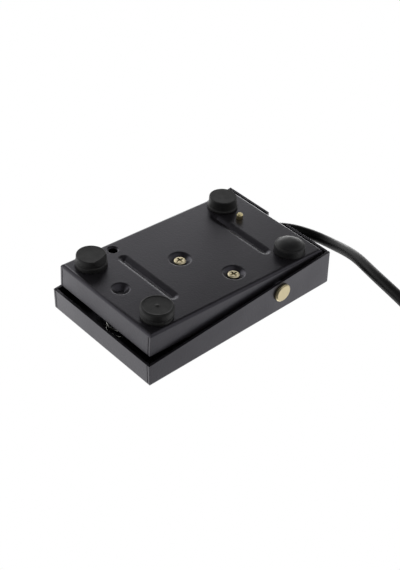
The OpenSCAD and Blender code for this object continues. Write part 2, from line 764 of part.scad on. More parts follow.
module clip_screw() {
    strap_top = floor_in + cord_lift - cord_r - strap_t - running_gap + 2*strap_t;
    color([0.8, 0.66, 0.35]) translate([clip_screw_x, cord_clip_y, 0]) difference() {
        union() {
            translate([0, 0, base_z - clip_screw_tip]) cylinder(h = 0.5, d1 = clip_screw_d - 0.9, d2 = clip_screw_d);
            translate([0, 0, base_z - clip_screw_tip + 0.5])
                cylinder(h = strap_top + 0.5 - base_z + clip_screw_tip, d = clip_screw_d);
            translate([0, 0, strap_top]) cylinder(h = 1.2, d = 5.4);
            translate([0, 0, strap_top + 1.2]) cylinder(h = 0.5, d1 = 5.4, d2 = 3.8);
        }
        translate([0, 0, strap_top + 1.7]) mirror([0, 0, 1]) cross_recess(3, 1);
    }
}

// Rubber lining of the opening in the rear wall, with a lip on both sides
module cord_grommet() {
    lip = 0.8;
    low = floor_in + 0.4;
    wall_y = base_length/2 - sheet;
    color([0.08, 0.08, 0.08]) difference() {
        union() {
            translate([port_x - port_w/2 + running_gap, wall_y - lip, low + running_gap])
                cube([port_w - 2*running_gap, sheet + 2*lip, port_h - 2*running_gap]);
            for (y = [wall_y - lip, wall_y + sheet]) {
                translate([port_x - port_w/2 - 1, y, low + running_gap]) cube([port_w + 2, lip, port_h + 1]);
            }
        }
        translate([port_x - port_w/2 + grommet_t, wall_y - 2, low + grommet_t])
            cube([port_w - 2*grommet_t, 6, port_h - 2*grommet_t]);
    }
}

// Insulated core from the end of the sheath to the end of a terminal blade
function blade_end(root, turn) = let (
    p = switch_to_part(root + blade_l*[cos(turn), sin(turn)])
) [p[0], p[1], case_mid];
function blade_way(turn) = [cos(turn + switch_turn), sin(turn + switch_turn), 0];

module core(start, middle, root, turn) {
    end = blade_end(root, turn);
    way = blade_way(turn);
    path = concat([start, start - [0, 4, 0]], middle, [end + 5*way, end + 2.4*way, end + 0.05*way]);
    tube(spline(path, 2), core_d/2, 8);
}

core_z = cord_z - 0.5;

module wire_common() {
    color([0.45, 0.25, 0.12]) core(
        [cord_x - 1, sheath_start[1] - 0.1, core_z], [[-4, 20, core_z - 0.4], [-12, 18.5, core_z + 0.6], [-16, 20, case_mid - 1.5]],
        common_root, 90
    );
}

module wire_open() {
    color([0.15, 0.3, 0.7]) core(
        [cord_x + 1, sheath_start[1] - 0.1, core_z], [[6, 19, core_z - 0.4], [12, 14, core_z + 0.1], [17.5, 9.5, core_z + 1.3], [19.2, 5.2, case_mid - 0.6]],
        open_root, 0
    );
}

module wire_closed() {
    color([0.05, 0.05, 0.05]) core(
        [cord_x, sheath_start[1] - 0.1, cord_z + 1.3], [[6, 20.6, cord_z + 1.3], [14, 17, cord_z + 1.6], [22.5, 11, cord_z + 1.6], [23, 0, case_mid - 0.1]],
        closed_root, 0
    );
}

module cord_lead() {
    color([0.07, 0.07, 0.08]) tube(spline(cord_route, 2), cord_r, 10);
}

// Section of the wound bundle, thinner by inset all round
module bundle_profile(inset) {
    r = coil_edge - inset;
    w = coil_out - coil_in - 2*inset;
    h = coil_h - 2*inset;
    translate([coil_in + inset, inset]) {
        translate([r, 0]) square([w - 2*r, h]);
        translate([0, r]) square([w, h - 2*r]);
        for (x = [r, w - r], y = [r, h - r]) translate([x, y]) circle(r);
    }
}

// Places children that stand in the X-Z plane at the tie, and gives them the tie's width
module at_tie(w) {
    translate([coil_place[0], coil_place[1], 0]) rotate([90, 0, tie_angle]) linear_extrude(w, center = true) children();
}

module cord_coil() {
    color([0.07, 0.07, 0.08]) difference() {
        translate([coil_place[0], coil_place[1], 0]) rotate_extrude($fn = 96) bundle_profile(0);
        at_tie(tie_w) difference() {
            translate([coil_in - over, -over]) square([coil_out - coil_in + 2*over, coil_h + 2*over]);
            bundle_profile(tie_t);
        }
    }
}

module cord_tie() {
    color([0.12, 0.12, 0.12]) at_tie(tie_w - 0.1) difference() {
        bundle_profile(0);
        bundle_profile(tie_t - 0.05);
    }
}

// Last stretch of the cord, which climbs onto the coil, and its three stripped cores
function eased(s) = 0.5 - 0.5*cos(180*min(max(s, 0), 1));
function end_point(w, out, up) = let (r = 24 + 3*eased((w - 50)/80) + out, a = end_turn - w) [
    coil_place[0] + r*cos(a), coil_place[1] + r*sin(a), 13.2 + 5.05*eased(w/end_rise) + up
];

module cord_end() {
    color([0.07, 0.07, 0.08]) tube([for (w = [0:9:end_sheath]) end_point(w, 0, 0)], cord_r, 10);
    color([0.2, 0.3, 0.6]) for (turn = [90, 210, 330]) {
        tube([for (s = [0:5]) let (spread = 1.15 + 0.3*max(0, s - 1)) end_point(
            end_sheath - 4 + s*(stripped + 4)/5, spread*cos(turn), spread*sin(turn)
        )], core_d/2, 6);
    }
}

base_tray();
pedal_tray();
hinge_pin();
retaining_clip();
hinge_washers();
foot_front_left();
foot_front_right();
foot_rear_left();
foot_rear_right();
return_spring();
stop_post();
striker();
switch_case();
switch_cover();
switch_plunger();
switch_lever();
lever_pin();
terminal_common();
terminal_open();
terminal_closed();
switch_screws();
switch_washers();
switch_nuts();
cord_clip();
clip_screw();
cord_grommet();
wire_common();
wire_open();
wire_closed();
cord_lead();
cord_coil();
cord_tie();
cord_end();
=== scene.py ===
# Industrial foot switch seen from below: coated steel trays, rubber feet, plated screws and a vinyl cord
import math

import bmesh
import bpy
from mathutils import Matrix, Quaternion, Vector


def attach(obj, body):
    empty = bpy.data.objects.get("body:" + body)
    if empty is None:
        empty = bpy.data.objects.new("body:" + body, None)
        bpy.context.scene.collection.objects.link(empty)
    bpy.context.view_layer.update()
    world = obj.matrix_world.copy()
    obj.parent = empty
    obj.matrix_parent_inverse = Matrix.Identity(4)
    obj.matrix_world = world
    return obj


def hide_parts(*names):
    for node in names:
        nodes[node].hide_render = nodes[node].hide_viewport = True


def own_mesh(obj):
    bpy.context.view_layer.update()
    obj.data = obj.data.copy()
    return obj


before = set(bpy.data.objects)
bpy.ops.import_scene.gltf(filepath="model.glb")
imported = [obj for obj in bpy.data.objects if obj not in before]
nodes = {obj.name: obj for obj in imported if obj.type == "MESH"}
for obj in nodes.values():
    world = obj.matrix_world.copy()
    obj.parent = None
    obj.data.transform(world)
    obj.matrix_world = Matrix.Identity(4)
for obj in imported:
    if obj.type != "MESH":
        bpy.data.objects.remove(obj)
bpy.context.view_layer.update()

mm = 0.001
print("frame loaded with", len(nodes), "nodes")


def toLinear(hexCode):
    # sRGB hex to the linear colour that the shaders want
    channels = [int(hexCode[i:i + 2], 16) / 255 for i in (1, 3, 5)]
    return tuple(c / 12.92 if c <= 0.04045 else ((c + 0.055) / 1.055) ** 2.4 for c in channels) + (1.0,)


def inMetres(point):
    return Vector(point) * mm


# Camera, below the part and turned over, so that the feet point up
viewpoint = {
    "place": (-316.2, -295.6, -306.4),
    "aim": (-9.63, -4.47, 13.22),
    "roll": -176.15,
    "lens": 77.96,
    "sensor": 36.0,
    "clip": (0.01, 20),
}


def makeCamera(spec):
    data = bpy.data.cameras.new("camera")
    data.lens = spec["lens"]
    data.sensor_width = spec["sensor"]
    data.clip_start, data.clip_end = spec["clip"]
    camera = bpy.data.objects.new("camera", data)
    place, aim = inMetres(spec["place"]), inMetres(spec["aim"])
    turn = (aim - place).to_track_quat("-Z", "Y") @ Quaternion((0, 0, 1), math.radians(spec["roll"]))
    camera.rotation_mode = "QUATERNION"
    camera.rotation_quaternion = turn
    camera.location = place
    bpy.context.scene.collection.objects.link(camera)
    bpy.context.scene.camera = camera


makeCamera(viewpoint)
print("camera placed")


# Curves through a route's points, by the same rule as the part's own source
def splinePoint(a, b, c, d, t):
    weights = ((1 - t) ** 3, 3 * t ** 3 - 6 * t * t + 4, -3 * t ** 3 + 3 * t * t + 3 * t + 1, t ** 3)
    return (a * weights[0] + b * weights[1] + c * weights[2] + d * weights[3]) / 6


def splinePath(route, steps):
    points = [Vector(p) for p in route]
    points = [2 * points[0] - points[1]] + points + [2 * points[-1] - points[-2]]
    path = [
        splinePoint(*points[i:i + 4], s / steps)
        for i in range(len(points) - 3) for s in range(steps)
    ]
    return path + [points[-2]]


def polyCurve(name, paths, radius, resolution=5):
    # round curves in one object, one open spline for each path in millimetres; the thickness sits on the
    # points, because the curve's own box is measured with it
    data = bpy.data.curves.new(name, "CURVE")
    data.dimensions = "3D"
    data.bevel_depth = 1
    data.bevel_resolution = resolution
    data.use_fill_caps = True
    for number, path in enumerate(paths):
        line = data.splines.new("POLY")
        line.points.add(len(path) - 1)
        for point, place in zip(line.points, path):
            point.co = (*(Vector(place) * mm), 1)
            point.radius = radius * mm
        line.use_smooth = True
        line.material_index = number
    piece = bpy.data.objects.new(name, data)
    bpy.context.scene.collection.objects.link(piece)
    return piece


# Cord: 5 mm round vinyl, out of the rear wall, over to one side, then a coil with a tie round it; lengths are
# in millimetres and angles in degrees of turn, but "length" is the real cord's length in metres
cordSpec = {
    "diameter": 5.0,
    "exit": (1.0, 49.8, 11.2),
    "route": [
        (2.8, 31.5, 10.4), (2.8, 35, 10.4), (2.8, 40, 10.4), (2, 45.8, 10.7), (-0.1, 51.2, 11.5),
        (-3.5, 56.2, 12.4), (-7.9, 59.7, 13.1), (-13.1, 62.1, 13.4), (-18.6, 63, 13.1), (-24.1, 62.6, 12.1),
        (-29.5, 61.5, 10.5), (-34.8, 59.8, 8.6), (-40.2, 57.8, 6.7), (-46, 55.5, 5.1), (-53, 52.7, 3.9),
        (-62, 49.8, 3), (-72, 47.4, 2.6), (-81, 45.4, 2.6), (-90, 43.3, 3),
    ],
    "coilPlace": (-105, 75.4),
    "coilFrom": -76,
    "outerRadius": 34.0,
    "innerRadius": 20.7,
    "endRadius": 24.0,
    "turnPitch": 5.1,
    "layers": (3.2, 8.2, 13.2, 18.25),
    "pointsPerTurn": 20,
    "endRise": 72,
    "endLength": 126,
    "endOut": 3.0,
    "outFrom": 50,  # where the loose end starts to stand off, past the last full turn
    "outOver": 80,
    "climbs": (300, 240),  # the turn that each step up to the next layer takes
    "length": 1.46,
    "stepsPerPoint": 5,
    "coreRadius": 0.9,
    "coreLength": 36,
    "coreHidden": 4,
    "coreTurns": (90, 210, 330),
    "coreFromMiddle": 1.15,
    "coreSplay": 0.3,
    "coreSteps": 12,
    "bareFrom": 10,  # the step at which the insulation ends
    "copperRadius": 0.5,
}


def eased(share):
    return 0.5 - 0.5 * math.cos(math.pi * min(max(share, 0), 1))


def endPoint(spec, wound, out, up):
    # the last stretch, which climbs onto the coil; wound is in degrees from where the coil's turns end
    high, top = spec["layers"][2:]
    radius = spec["endRadius"] + spec["endOut"] * eased((wound - spec["outFrom"]) / spec["outOver"]) + out
    height = high + (top - high) * eased(wound / spec["endRise"]) + up
    return radius, height


def coilRoute(spec):
    # wound clockwise seen from above: a layer inwards, one outwards on it, then one inwards on that
    outer, inner, pitch = spec["outerRadius"], spec["innerRadius"], spec["turnPitch"]
    low, middle, high = spec["layers"][:3]
    firstClimb, secondClimb = spec["climbs"]
    layer = (outer - inner) / pitch * 360
    wound = 2 * layer + (outer - spec["endRadius"]) / pitch * 360
    step = 360 / spec["pointsPerTurn"]
    count = round(wound / step)
    step = wound / count
    route = []
    for number in range(count + 1 + int(spec["endLength"] / step)):
        turned = number * step
        if number > count:
            radius, height = endPoint(spec, turned - wound, 0, 0)
        else:
            if turned < layer:
                radius = outer - pitch * turned / 360
            elif turned < 2 * layer:
                radius = inner + pitch * (turned - layer) / 360
            else:
                radius = outer - pitch * (turned - 2 * layer) / 360
            height = low + (middle - low) * eased((turned - layer + firstClimb / 2) / firstClimb)
            height += (high - middle) * eased((turned - 2 * layer + secondClimb / 2) / secondClimb)
        route.append((turned, radius, height))
    return wound, route


def onCoil(spec, turned, radius, height):
    angle = math.radians(spec["coilFrom"] - turned)
    x, y = spec["coilPlace"]
    return Vector((x + radius * math.cos(angle), y + radius * math.sin(angle), height))


def makeCord(spec):
    wound, coil = coilRoute(spec)
    # a smoothed curve cuts inside its points, so the points stand a little further out
    spread = 3 / (2 + math.cos(math.radians(360 / spec["pointsPerTurn"])))
    route = spec["route"] + [onCoil(spec, t, r * spread, h) for t, r, h in coil]
    piece = polyCurve("cord", [splinePath(route, spec["stepsPerPoint"])], spec["diameter"] / 2, 7)
    lastTurn = coil[-1][0] - wound
    cores, copper = [], []
    for turn in spec["coreTurns"]:
        angle = math.radians(turn)
        core = []
        for number in range(spec["coreSteps"] + 1):
            # the cores start inside the sheath and part after the first fifth of their length
            along = number / spec["coreSteps"]
            out = spec["coreFromMiddle"] + spec["coreSplay"] * max(0, 5 * along - 1)
            turned = lastTurn - spec["coreHidden"] + along * (spec["coreLength"] + spec["coreHidden"])
            radius, height = endPoint(spec, turned, out * math.cos(angle), out * math.sin(angle))
            core.append(onCoil(spec, wound + turned, radius, height))
        cores.append(core[:spec["bareFrom"] + 1])
        copper.append(core[spec["bareFrom"]:])
    corePiece = polyCurve("cord_cores", cores, spec["coreRadius"], 4)
    copperPiece = polyCurve("cord_core_ends", copper, spec["copperRadius"], 3)
    return piece, corePiece, copperPiece


cord, cordCores, coreEnds = makeCord(cordSpec)
print("cord laid out")
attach(cord, "base")
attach(cordCores, "base")
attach(coreEnds, "base")
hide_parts("cord_lead", "cord_coil")
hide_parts("cord_end")


# Return spring: closed and ground ends, standing round the boss pressed into the base
springSpec = {
    "axis": (1.2, -39.4),
    "diameter": 10.8,
    "wire": 1.1,
    "turns": 8,
    "footPitch": 1.19,
    "topPitch": 2.3,
    "phase": -100,
    "foot": 7.4,
    "top": 27.72,
    "lean": (-1.4, -1.2),
    "anchor": 6.8,
    "squashed": 0.64,
    "pointsPerTurn": 28,
}


def asMesh(piece):
    # the same piece as a plain mesh, under the same name
    name = piece.name
    graph = bpy.context.evaluated_depsgraph_get()
    mesh = bpy.data.meshes.new_from_object(piece.evaluated_get(graph))
    bpy.data.objects.remove(piece)
    mesh.name = name
    solid = bpy.data.objects.new(name, mesh)
    bpy.context.scene.collection.objects.link(solid)
    return solid


def makeSpring(spec):
    # a left-hand helix; the end turns are closer than those between them
    count = spec["turns"] * spec["pointsPerTurn"]
    between = (spec["top"] - spec["foot"] - spec["footPitch"] - spec["topPitch"]) / (spec["turns"] - 2)
    height, path = spec["foot"], []
    x, y = spec["axis"]
    for number in range(count + 1):
        turn = number / spec["pointsPerTurn"]
        angle = math.radians(spec["phase"]) - 2 * math.pi * turn
        risen = (height - spec["foot"]) / (spec["top"] - spec["foot"])
        path.append((
            x + spec["lean"][0] * risen + spec["diameter"] / 2 * math.cos(angle),
            y + spec["lean"][1] * risen + spec["diameter"] / 2 * math.sin(angle), height))
        pitch = between
        if turn < 1:
            pitch = spec["footPitch"]
        elif turn >= spec["turns"] - 1:
            pitch = spec["topPitch"]
        height += pitch / spec["pointsPerTurn"]
    return asMesh(polyCurve("spring_coils", [path], spec["wire"] / 2, 4))


spring = makeSpring(springSpec)
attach(spring, "base")
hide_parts("return_spring")
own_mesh(spring)
print("spring coiled")


# Feet: moulded rubber, each with its own wear; a profile of radius and height runs from the middle of the
# tip, and the stem with its bulb behind the sheet is the same for all. The chip is cut from points outside
# its rim and below its reach.
stemProfile = [(2.4, 5.65), (2.4, 6.8), (3.1, 7.0), (3.0, 7.7), (1.6, 8.8), (0, 8.85)]
footMould = {"sides": 72, "corner": 0.12, "cornerAngle": 25, "cornerSteps": 2, "evenness": 70}
feetSpec = {
    "foot_front_left": {
        "middle": (-21.9, -39.0), "slot": "foot_rubber", "finish": "rubber",
        "profile": [
            (0, 0.0), (0.35, 0.02), (0.8, 0.22), (1.4, 0.26), (5.7, 0.24), (6.0, 0.12), (6.3, 0.02),
            (6.7, 0.12), (7.0, 0.45), (7.12, 0.9), (7.12, 2.9), (6.85, 3.35), (6.5, 3.6), (6.5, 4.1),
            (7.0, 4.4), (7.0, 5.55)],
    },
    "foot_front_right": {
        "middle": (21.9, -39.0), "slot": "foot_rubber", "finish": "rubber",
        "profile": [
            (0, 0.14), (5.8, 0.1), (6.1, 0.0), (6.35, 0.1), (6.5, 0.4), (6.6, 2.6), (6.4, 2.9), (6.5, 3.2),
            (6.9, 3.5), (7.0, 4.0), (7.0, 5.55)],
        "chip": {"turn": 165, "width": 38, "depth": 0.85, "reach": 1.5, "rim": 5},
    },
    "foot_rear_left": {
        "middle": (-21.9, 36.2), "slot": "foot_rubber_glossy", "finish": "glossyRubber",
        "profile": [
            (0, 0.05), (1.5, 0.11), (2.8, 0.3), (3.9, 0.62), (4.8, 1.02), (5.5, 1.48), (5.85, 1.8),
            (6.1, 1.86), (6.45, 1.9), (6.7, 2.2), (6.8, 2.7), (6.9, 4.8), (7.0, 5.55)],
    },
    "foot_rear_right": {
        "middle": (21.9, 36.2), "slot": "foot_rubber", "finish": "rubber",
        "profile": [
            (0, 0.06), (5.7, 0.03), (6.0, 0.0), (6.25, 0.15), (6.32, 0.5), (6.42, 2.6), (6.5, 4.2),
            (6.9, 4.7), (7.0, 5.55)],
    },
}


def turnFoot(name, spec, mould):
    profile = spec["profile"] + stemProfile
    middle, sides = spec["middle"], mould["sides"]
    chip = spec.get("chip")
    shape = bmesh.new()
    rings = []
    for radius, height in profile:
        if radius == 0:
            rings.append([shape.verts.new(inMetres((*middle, height)))] * sides)
            continue
        ring = []
        for number in range(sides):
            turn = 360 * number / sides
            away = radius
            if chip and height < chip["reach"] and radius > chip["rim"]:
                off = abs((turn - chip["turn"] + 180) % 360 - 180) / chip["width"]
                away -= chip["depth"] * max(0, 1 - off ** 4)
            angle = math.radians(turn)
            place = (middle[0] + away * math.cos(angle), middle[1] + away * math.sin(angle), height)
            ring.append(shape.verts.new(inMetres(place)))
        rings.append(ring)
    for low, high in zip(rings, rings[1:]):
        for number in range(sides):
            after = (number + 1) % sides
            corners = [low[number], low[after], high[after], high[number]]
            face = shape.faces.new(list(dict.fromkeys(corners)))
            face.smooth = True
    bmesh.ops.recalc_face_normals(shape, faces=shape.faces)
    mesh = bpy.data.meshes.new(name + "_rubber")
    shape.to_mesh(mesh)
    shape.free()
    foot = bpy.data.objects.new(name + "_rubber", mesh)
    bpy.context.scene.collection.objects.link(foot)
    corner = foot.modifiers.new("moulded corners", "BEVEL")
    corner.limit_method = "ANGLE"
    corner.angle_limit = math.radians(mould["cornerAngle"])
    corner.width = mould["corner"] * mm
    corner.segments = mould["cornerSteps"]
    foot.modifiers.new("moulded shading", "WEIGHTED_NORMAL").weight = mould["evenness"]
    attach(foot, "base")
    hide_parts(name)
    return foot


feet = {name: turnFoot(name, spec, footMould) for name, spec in feetSpec.items()}
print("feet moulded")


# Node trees
def newTree(name):
    material = bpy.data.materials.new(name)
    material.use_nodes = True
    material.node_tree.nodes.clear()
    return material, material.node_tree


def addNode(tree, kind, inputs=None, **settings):
    # a node with its settings; an input is a plain value or another node's output
    node = tree.nodes.new(kind)
    for name, value in settings.items():
        setattr(node, name, value)
    for name, value in (inputs or {}).items():
        if isinstance(value, bpy.types.NodeSocket):
            tree.links.new(value, node.inputs[name])
        else:
            node.inputs[name].default_value = value
    return node


# Edges: folds, pressed lips and cut rims are rounded as the real ones are, so that they catch the light;
# sizes are in millimetres, "corner" and "flat" are angles in degrees and "lipBend" is one in radians
edgeSpec = {
    "weld": 0.002,
    "corner": 30,
    "lip": 0.85,
    "lipSteps": 5,
    "steps": 2,
    "flat": 0.5,
    "level": 5.6,
    "levelSlack": 0.02,
    "lipBend": 0.2,
    "lips": [
        {"middle": (0.7, -25.2), "reach": (18.6, 2.4), "share": 1.0},
        {"middle": (0.7, 27.6), "reach": (18.6, 2.4), "share": 1.0},
        {"middle": (2.37, -5.99), "reach": (5.4, 5.4), "share": 0.55},
        {"middle": (-18.97, 5.99), "reach": (5.4, 5.4), "share": 0.55},
        {"middle": (1.2, -39.4), "reach": (4.6, 4.6), "share": 0.5},
    ],
}
edgeWidths = {
    "base_tray": 0.08, "pedal_tray": 0.1, "hinge_pin": 0.12, "retaining_clip": 0.08, "hinge_washers": 0.08,
    "stop_post": 0.15, "striker": 0.12, "switch_case": 0.15, "switch_cover": 0.15, "switch_plunger": 0.08,
    "switch_lever": 0.05, "switch_screws": 0.08, "switch_washers": 0.05, "switch_nuts": 0.12,
    "terminal_common": 0.06, "terminal_open": 0.06, "terminal_closed": 0.06, "cord_clip": 0.15,
    "clip_screw": 0.1, "cord_grommet": 0.12, "cord_tie": 0.1,
}


def smoothGroup(spec, lips):
    # welds the faces of a solid, drops their stored normals, and marks the lips of the pressed shapes
    group = bpy.data.node_groups.new("soft edges" + (" and lips" if lips else ""), "GeometryNodeTree")
    group.interface.new_socket("Geometry", in_out="INPUT", socket_type="NodeSocketGeometry")
    group.interface.new_socket("Geometry", in_out="OUTPUT", socket_type="NodeSocketGeometry")
    shape = addNode(group, "NodeGroupInput").outputs[0]
    shape = addNode(group, "GeometryNodeMergeByDistance", {
        "Geometry": shape, "Distance": spec["weld"] * mm}).outputs[0]
    shape = addNode(group, "GeometryNodeSetMeshNormal", {"Mesh": shape, "Remove Custom": True}).outputs[0]
    if lips:
        place = addNode(group, "GeometryNodeInputPosition").outputs[0]
        place = addNode(group, "ShaderNodeSeparateXYZ", {0: place})
        flat = addNode(group, "ShaderNodeMath", {
            0: place.outputs["Z"], 1: spec["level"] * mm, 2: spec["levelSlack"] * mm},
            operation="COMPARE").outputs[0]
        weight = 0.0
        for lip in spec["lips"]:
            near = flat
            for axis, middle, reach in zip("XY", lip["middle"], lip["reach"]):
                side = addNode(group, "ShaderNodeMath", {
                    0: place.outputs[axis], 1: middle * mm, 2: reach * mm}, operation="COMPARE").outputs[0]
                near = addNode(
                    group, "ShaderNodeMath", {0: near, 1: side}, operation="MULTIPLY").outputs[0]
            weight = addNode(group, "ShaderNodeMath", {
                0: near, 1: lip["share"], 2: weight}, operation="MULTIPLY_ADD").outputs[0]
        weight = addNode(
            group, "GeometryNodeFieldOnDomain", {0: weight}, data_type="FLOAT", domain="EDGE").outputs[0]
        angle = addNode(group, "GeometryNodeInputMeshEdgeAngle").outputs["Unsigned Angle"]
        sharp = addNode(
            group, "ShaderNodeMath", {0: angle, 1: spec["lipBend"]}, operation="GREATER_THAN").outputs[0]
        weight = addNode(group, "ShaderNodeMath", {0: weight, 1: sharp}, operation="MULTIPLY").outputs[0]
        shape = addNode(group, "GeometryNodeStoreNamedAttribute", {
            "Geometry": shape, "Name": "bevel_weight_edge", "Value": weight},
            data_type="FLOAT", domain="EDGE").outputs[0]
    addNode(group, "NodeGroupOutput", {0: shape})
    return group


def softenEdges(piece, width, spec, group, lips):
    soften = piece.modifiers.new("weld", "NODES")
    soften.node_group = group
    flat = piece.modifiers.new("whole faces", "DECIMATE")
    flat.decimate_type = "DISSOLVE"
    flat.angle_limit = math.radians(spec["flat"])
    if lips:
        lip = piece.modifiers.new("pressed lips", "BEVEL")
        lip.limit_method = "WEIGHT"
        lip.width = spec["lip"] * mm
        lip.segments = spec["lipSteps"]
        lip.use_clamp_overlap = False
    corner = piece.modifiers.new("corners", "BEVEL")
    corner.limit_method = "ANGLE"
    corner.angle_limit = math.radians(spec["corner"])
    corner.width = width * mm
    corner.segments = spec["steps"]
    corner.use_clamp_overlap = False
    corner.miter_outer = "MITER_ARC"
    shade = piece.modifiers.new("shading", "WEIGHTED_NORMAL")
    shade.mode = "FACE_AREA_WITH_ANGLE"


groups = {lips: smoothGroup(edgeSpec, lips) for lips in (False, True)}
for name, width in edgeWidths.items():
    softenEdges(nodes[name], width, edgeSpec, groups[name == "base_tray"], name == "base_tray")
print("edges rounded")


# Materials; most of a noise pattern's values lie in its span
noiseSpan = {"From Min": 0.3, "From Max": 0.7}


def blackPowderCoat():
    # thin satin black powder coat on steel: a soft sheen, broken by fine orange peel
    # tint: a painted cool cast on the coat's highlights and reflections, in place of a cool light
    spec = {
        "colour": "#131214", "dusty": "#181719", "tint": "#f0ecff", "gloss": 0.47, "roughness": 0.36,
        "peelSize": 0.85, "peelDepth": 0.042, "clouds": 60.0,
    }
    material, tree = newTree("black powder coated steel")
    place = addNode(tree, "ShaderNodeTexCoord").outputs["Object"]
    peel = addNode(tree, "ShaderNodeTexNoise", {
        "Vector": place, "Scale": 1 / (spec["peelSize"] * mm), "Detail": 2.0, "Roughness": 0.5})
    clouds = addNode(tree, "ShaderNodeTexNoise", {
        "Vector": place, "Scale": spec["clouds"], "Detail": 3.0})
    colour = addNode(tree, "ShaderNodeMix", {
        "Factor": clouds.outputs["Fac"], "A": toLinear(spec["colour"]), "B": toLinear(spec["dusty"])},
        data_type="RGBA")
    bump = addNode(tree, "ShaderNodeBump", {
        "Strength": 1.0, "Distance": spec["peelDepth"] * mm, "Height": peel.outputs["Fac"]})
    rough = addNode(tree, "ShaderNodeMapRange", {
        "Value": clouds.outputs["Fac"], **noiseSpan,
        "To Min": spec["roughness"] - 0.04, "To Max": spec["roughness"] + 0.05})
    surface = addNode(tree, "ShaderNodeBsdfPrincipled", {
        "Base Color": colour.outputs["Result"], "Roughness": rough.outputs["Result"],
        "Normal": bump.outputs["Normal"], "IOR": 1.5, "Specular IOR Level": spec["gloss"],
        "Specular Tint": toLinear(spec["tint"])})
    addNode(tree, "ShaderNodeOutputMaterial", {"Surface": surface.outputs["BSDF"]})
    return material


def plainMaterial(name, colour, roughness, metallic=0.0, grain=0.3, depth=0.01, gloss=0.5, drift=0.14,
                  patch=4.0, paintedShade=None):
    # colour and sheen drift in soft patches over a fine relief; painted shade, a darker colour mixed in
    # by ambient occlusion, darkens recesses narrower than its reach
    material, tree = newTree(name)
    place = addNode(tree, "ShaderNodeTexCoord").outputs["Object"]
    patches = addNode(tree, "ShaderNodeTexNoise", {
        "Vector": place, "Scale": 1 / (patch * mm), "Detail": 3.0}).outputs["Fac"]
    relief = addNode(tree, "ShaderNodeTexNoise", {
        "Vector": place, "Scale": 1 / (grain * mm), "Detail": 3.0}).outputs["Fac"]
    base = toLinear(colour)[:3]
    tint = addNode(tree, "ShaderNodeMix", {
        "Factor": patches, "A": (*(part * (1 - drift) for part in base), 1),
        "B": (*(part * (1 + drift) for part in base), 1)}, data_type="RGBA").outputs["Result"]
    # painted shade: the darker colour takes over where ambient occlusion is strong
    if paintedShade:
        unshaded = addNode(tree, "ShaderNodeAmbientOcclusion", {"Distance": paintedShade["reach"] * mm}).outputs["AO"]
        unshaded = addNode(tree, "ShaderNodeMapRange", {
            "Value": unshaded, "From Min": paintedShade["full"], "From Max": paintedShade["none"]}).outputs["Result"]
        tint = addNode(tree, "ShaderNodeMix", {
            "Factor": unshaded, "A": toLinear(paintedShade["colour"]), "B": tint}, data_type="RGBA").outputs["Result"]
    sheen = addNode(tree, "ShaderNodeMapRange", {
        "Value": patches, **noiseSpan,
        "To Min": roughness - 0.05, "To Max": roughness + 0.05}).outputs["Result"]
    bump = addNode(tree, "ShaderNodeBump", {"Strength": 1.0, "Distance": depth * mm, "Height": relief})
    surface = addNode(tree, "ShaderNodeBsdfPrincipled", {
        "Base Color": tint, "Roughness": sheen, "Metallic": metallic, "Normal": bump.outputs["Normal"]})
    if not metallic:
        surface.inputs["IOR"].default_value = 1.5
        surface.inputs["Specular IOR Level"].default_value = gloss
    addNode(tree, "ShaderNodeOutputMaterial", {"Surface": surface.outputs["BSDF"]})
    return material
